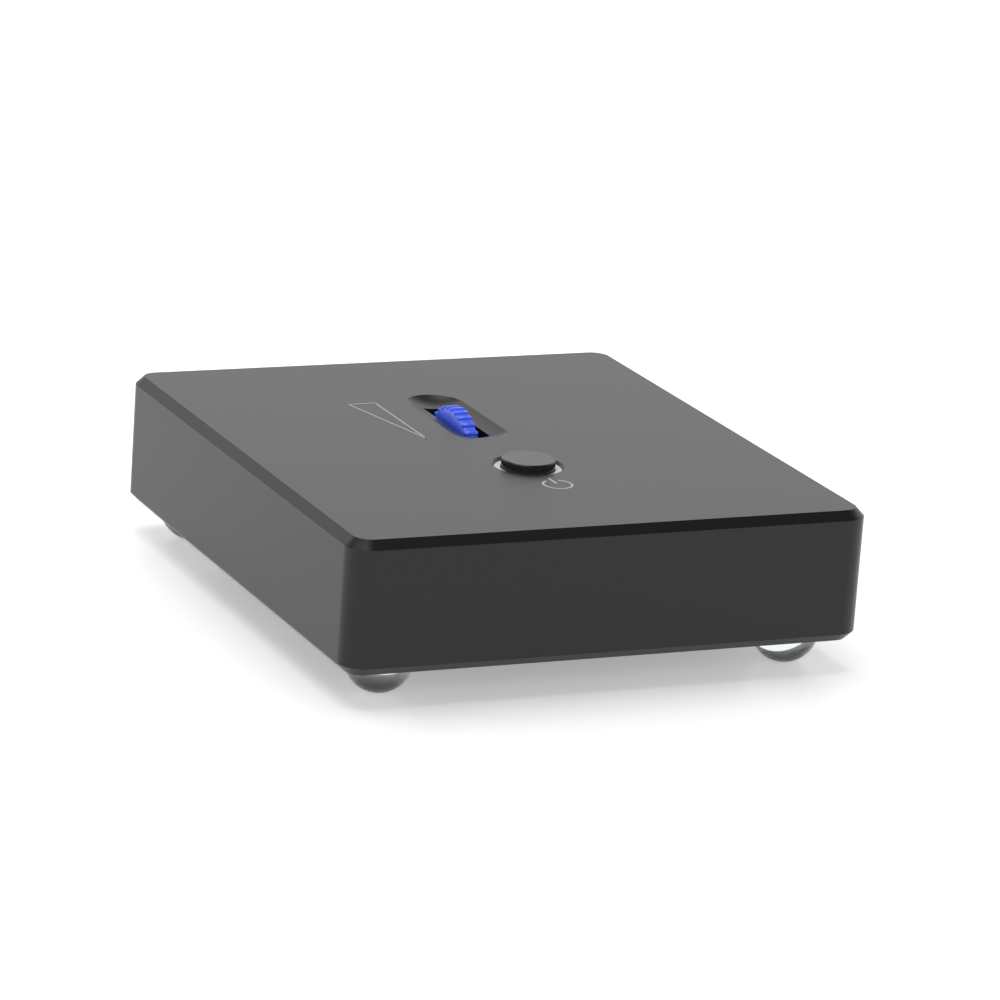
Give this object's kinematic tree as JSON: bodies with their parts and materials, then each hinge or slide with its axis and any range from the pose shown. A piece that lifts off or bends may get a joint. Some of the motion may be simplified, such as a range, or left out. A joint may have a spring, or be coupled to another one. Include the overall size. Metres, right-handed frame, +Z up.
{
  "type": "phono preamp",
  "caption": "Small desktop phono preamp: black milled case on clear feet, gain thumb wheel in a scooped slot, round power button in a light ring, sockets at the back.",
  "frame": {"origin": "on the surface it stands on, under the middle of the whole object's box, the ground stud at the back included", "axes": "+X right along the front face, +Y to the back, where the sockets are, +Z up"},
  "size_m": [0.08, 0.1, 0.0257],
  "materials": {
    "black_anodised": "satin black anodised, finely milled",
    "blue_moulding": "moulded blue, satin gloss",
    "bright_steel": "bright nickel plated",
    "black_steel": "black oxide",
    "dark_moulding": "fine matt moulding",
    "light_moulding": "moulded off white",
    "white_moulding": "moulded white",
    "red_moulding": "moulded red",
    "film_moulding": "moulded case of a film capacitor",
    "opal_acrylic": "opal, lets light through",
    "clear_foot": "clear soft polyurethane",
    "circuit_board": "green solder mask",
    "brass": "turned",
    "tin": "bright can",
    "gold_plate": "gold plated, turned"
  },
  "bodies": {
    "case": {"case_shell": "black_anodised", "base_plate": "black_anodised", "base_screws": "black_steel", "foot_front_left": "clear_foot", "foot_front_right": "clear_foot", "foot_back_left": "clear_foot", "foot_back_right": "clear_foot", "circuit_board": "circuit_board", "board_screws": "bright_steel", "pot_body": "dark_moulding", "pot_plate": "bright_steel", "pot_bush": "brass", "pot_lugs": "tin", "switch_body": "dark_moulding", "switch_cover": "bright_steel", "ring_lamps": "opal_acrylic", "ground_lock_nut": "gold_plate", "can_capacitors": "tin", "film_capacitors": "film_moulding", "amplifier_chips": "dark_moulding", "resistors": "dark_moulding", "muting_relay": "light_moulding", "voltage_regulator": "dark_moulding", "out_left_housing": "dark_moulding", "out_right_housing": "dark_moulding", "in_left_housing": "dark_moulding", "in_right_housing": "dark_moulding", "out_left_contact": "gold_plate", "out_right_contact": "gold_plate", "in_left_contact": "gold_plate", "in_right_contact": "gold_plate", "out_left_shell": "gold_plate", "out_right_shell": "gold_plate", "in_left_shell": "gold_plate", "in_right_shell": "gold_plate", "out_left_insulator": "white_moulding", "out_right_insulator": "red_moulding", "in_left_insulator": "white_moulding", "in_right_insulator": "red_moulding", "light_ring": "opal_acrylic", "ground_stud": "gold_plate", "dc_housing": "dark_moulding", "dc_pin": "bright_steel", "selector_body": "bright_steel"},
    "button": {"power_button": "black_anodised", "switch_plunger": "dark_moulding"},
    "wheel": {"gain_wheel": "blue_moulding", "gain_spindle": "bright_steel"},
    "washer": {"ground_washer": "gold_plate"},
    "nut": {"ground_nut": "gold_plate"},
    "selector": {"selector_knob": "light_moulding"}
  },
  "joints": [
    {"name": "gain_wheel_turn", "type": "hinge", "parent": "case", "child": "wheel", "pos_m": [0, 0.0072, 0.01715], "axis": [1, 0, 0], "range_deg": [-140, 140]},
    {"name": "power_button_press", "type": "slide", "parent": "case", "child": "button", "axis": [0, 0, -1], "range_m": [0, 0.0008], "stiffness_N_per_m": 1200, "springref_m": -0.0008},
    {"name": "ground_washer_slide", "type": "slide", "parent": "case", "child": "washer", "axis": [0, 1, 0], "range_m": [0, 0.0025]},
    {"name": "ground_nut_turn", "type": "hinge", "parent": "washer", "child": "nut", "pos_m": [0.0055, 0.0444, 0.0166], "axis": [0, 1, 0], "range_deg": [0, 1800]},
    {"name": "selector_slide", "type": "slide", "parent": "case", "child": "selector", "axis": [1, 0, 0], "range_m": [0, 0.002]}
  ],
  "couplings": [
    {"joint": "ground_nut_turn", "follows": "ground_washer_slide", "rad_per_m": 12566}
  ]
}
